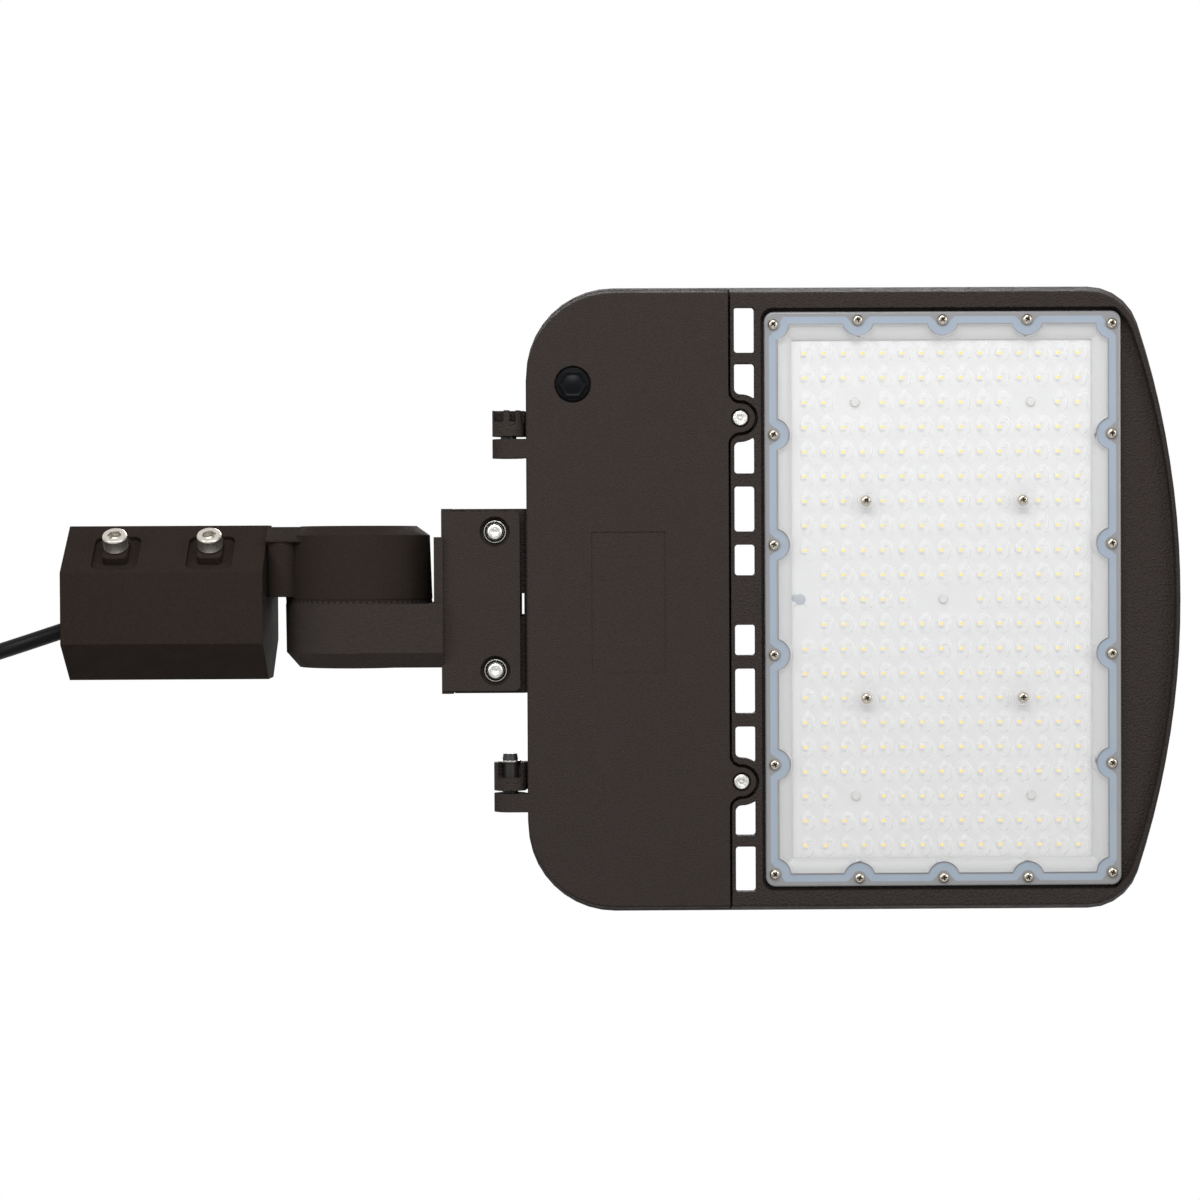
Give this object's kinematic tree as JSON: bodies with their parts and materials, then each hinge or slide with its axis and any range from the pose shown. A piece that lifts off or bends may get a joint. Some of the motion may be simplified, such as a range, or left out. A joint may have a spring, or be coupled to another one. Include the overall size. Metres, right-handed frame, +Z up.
{
  "type": "parking lot area light",
  "caption": "Flat shoebox LED area light on a toothed tilting slip fitter, with a finned head, a lens plate and a hinged driver door.",
  "frame": {"origin": "centre of the open mouth of the tenon socket, on the tenon's axis", "axes": "+X along the tenon axis from the socket's mouth to the nose of the head, +Y along the tilting axis, +Z up; the light shines down"},
  "size_m": [0.6705, 0.3302, 0.1993],
  "materials": {
    "bronze_casting": "dark bronze powder coat with a fine orange-peel texture over die-cast aluminium",
    "stainless": "plain stainless steel",
    "dark_steel": "blackened steel",
    "green_screw": "green earth screw",
    "black_rubber": "matt black jacket",
    "black_plastic": "matt black",
    "lead_insulation": "smooth insulation, one colour for each lead",
    "connector_caps": "smooth coloured caps",
    "white_board": "white solder mask with yellow emitters",
    "clear_lens": "clear moulded lens plate",
    "grey_seal": "grey silicone",
    "driver_case": "plain case",
    "blue_plastic": "matt"
  },
  "bodies": {
    "fitter": {"fitter_sleeve": "bronze_casting", "clamp_bolts": "stainless", "knuckle_bolt": "stainless", "knuckle_washers": "stainless", "knuckle_nut": "stainless", "cord_bushing": "black_rubber", "supply_cord": "black_rubber", "cord_coil": "black_rubber", "cord_tie": "black_plastic", "lead_ends": "lead_insulation"},
    "head": {"knuckle_arm": "bronze_casting", "bracket_screws": "stainless", "bracket_washers": "stainless", "housing": "bronze_casting", "led_board": "white_board", "board_screws": "stainless", "board_grommet": "black_rubber", "lens_plate": "clear_lens", "lens_gasket": "grey_seal", "lens_screws": "stainless", "led_driver": "driver_case", "driver_screws": "stainless", "surge_protector": "blue_plastic", "surge_screw": "stainless", "splice_connectors": "connector_caps", "earth_screw": "green_screw", "led_wires": "lead_insulation", "cable_gland": "black_plastic", "driver_lead": "black_rubber", "hinge_pins": "dark_steel", "pin_clip": "stainless"},
    "door": {"driver_door": "bronze_casting", "door_gasket": "grey_seal", "door_screws": "stainless", "port_plug": "black_plastic", "port_seal": "grey_seal"}
  },
  "joints": [
    {"name": "knuckle_tilt", "type": "hinge", "parent": "fitter", "child": "head", "pos_m": [0.1532, -0.004, 0], "axis": [0, 1, 0], "range_deg": [-90, 90]},
    {"name": "door_hinge", "type": "hinge", "parent": "head", "child": "door", "pos_m": [0.2342, -0.004, -0.0275], "axis": [0, 1, 0], "range_deg": [0, 100]}
  ]
}
